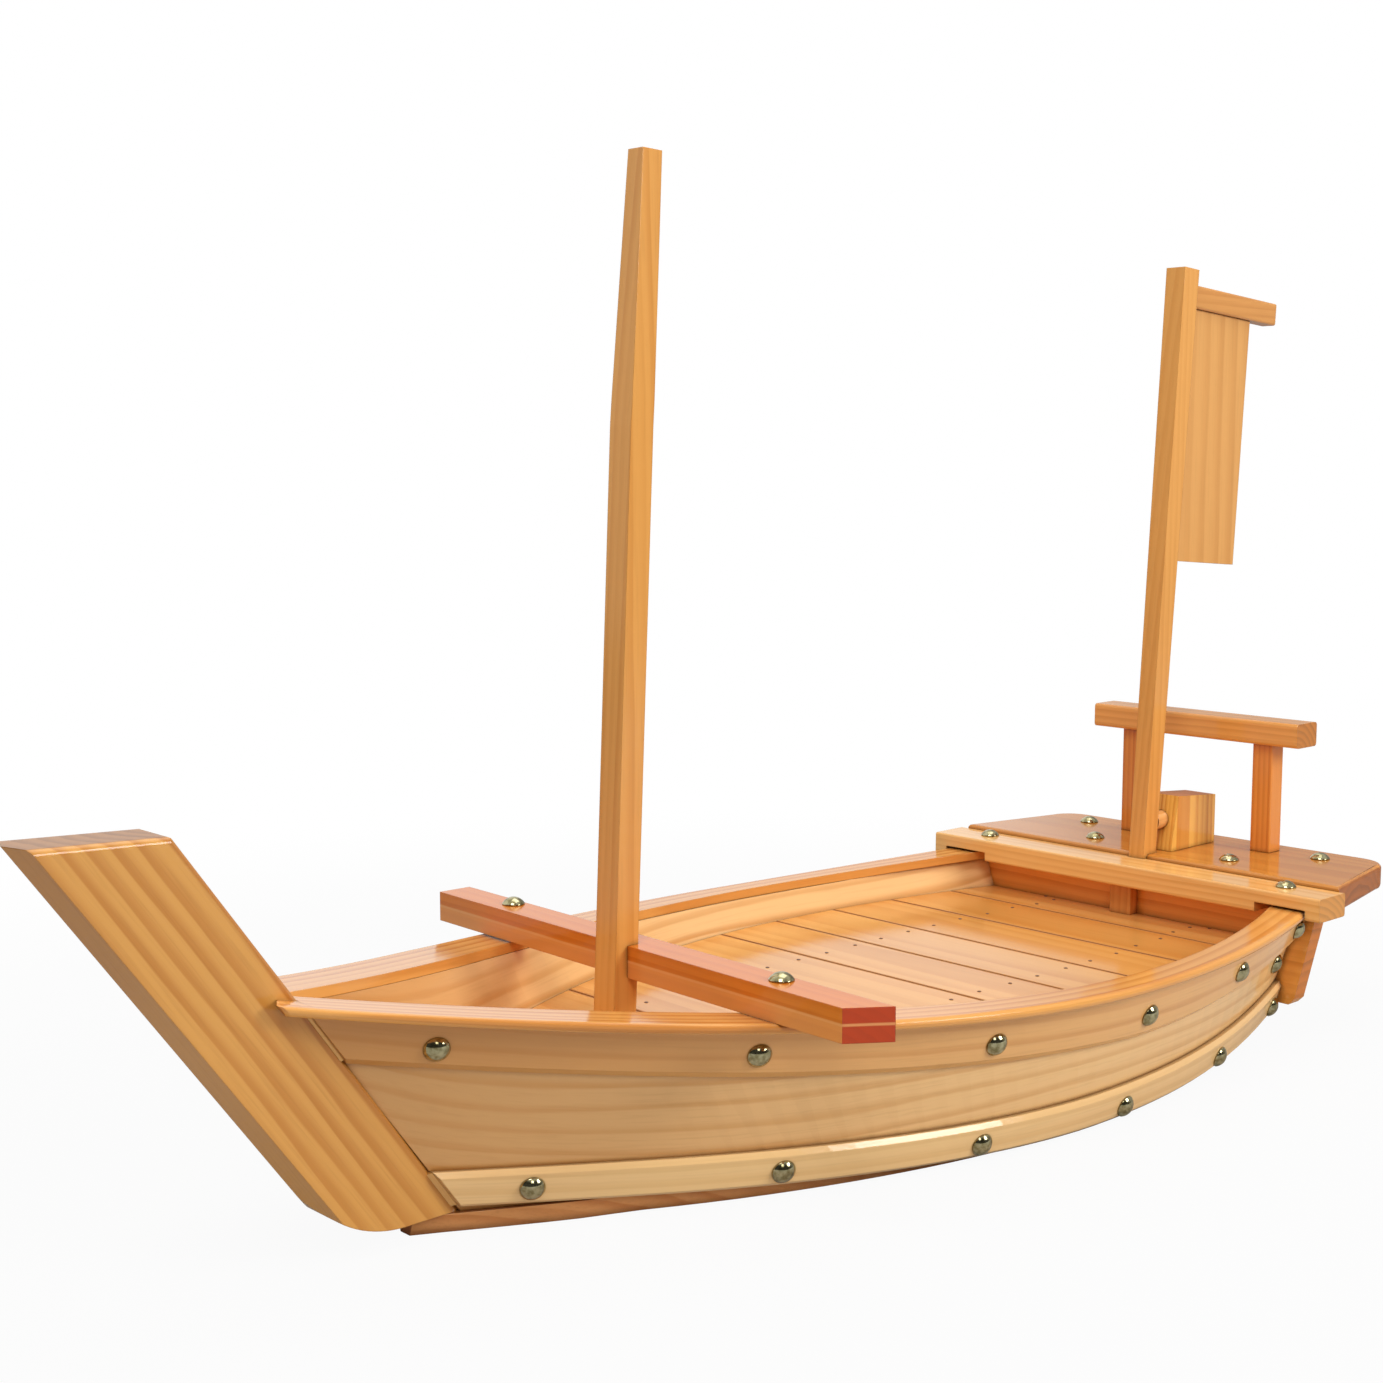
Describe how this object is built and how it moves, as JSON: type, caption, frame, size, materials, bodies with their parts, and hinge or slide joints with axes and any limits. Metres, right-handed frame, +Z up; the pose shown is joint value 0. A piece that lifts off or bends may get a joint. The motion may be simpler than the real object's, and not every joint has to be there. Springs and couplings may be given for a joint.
{
  "type": "wooden serving boat",
  "caption": "Boat-shaped wooden serving tray with a raked stem, a slatted floor between two crossbeams, two upright masts and a small railed stern deck",
  "frame": {"origin": "On the table under the flat fore part of the bottom board, on the centre plane, 0.25 m forward of the transom", "axes": "X from the bow to the stern along the hull, Y to the boat's right hand side, Z up from the table"},
  "size_m": [0.7405, 0.2732, 0.4133],
  "materials": {
    "honey_pine": "glossy clear lacquer",
    "pale_pine": "glossy clear lacquer",
    "amber_pine": "glossy clear lacquer",
    "brass_nails": "antique, polished domes"
  },
  "bodies": {
    "root": {"stem_post": "honey_pine", "bottom_board": "amber_pine", "side_plank_port": "pale_pine", "side_plank_starboard": "pale_pine", "upper_wale_port": "honey_pine", "upper_wale_starboard": "honey_pine", "lower_wale_port": "honey_pine", "lower_wale_starboard": "honey_pine", "gunwale_rail_port": "honey_pine", "gunwale_rail_starboard": "honey_pine", "transom": "amber_pine", "mast_step_block": "honey_pine", "floor_board_1": "honey_pine", "floor_board_2": "honey_pine", "floor_board_3": "honey_pine", "floor_board_4": "honey_pine", "floor_board_5": "honey_pine", "floor_board_6": "honey_pine", "floor_board_7": "honey_pine", "floor_board_8": "honey_pine", "floor_board_9": "honey_pine", "floor_board_10": "honey_pine", "floor_board_11": "honey_pine", "floor_board_12": "honey_pine", "floor_bearer_port": "amber_pine", "floor_bearer_starboard": "amber_pine", "floor_bearer_bow": "amber_pine", "fore_crossbeam": "amber_pine", "fore_mast": "honey_pine", "aft_crossbeam": "honey_pine", "aft_mast": "honey_pine", "flag_yard": "honey_pine", "flag_board": "pale_pine", "stern_deck": "honey_pine", "deck_bearer": "amber_pine", "rail_post_port": "honey_pine", "rail_post_starboard": "honey_pine", "rail_crossbar": "honey_pine", "rudder_block": "honey_pine", "tiller_dowel": "pale_pine", "hull_nails_port": "brass_nails", "hull_nails_starboard": "brass_nails", "fore_beam_nails": "brass_nails", "aft_beam_nails": "brass_nails", "deck_nails": "brass_nails"}
  },
  "joints": []
}
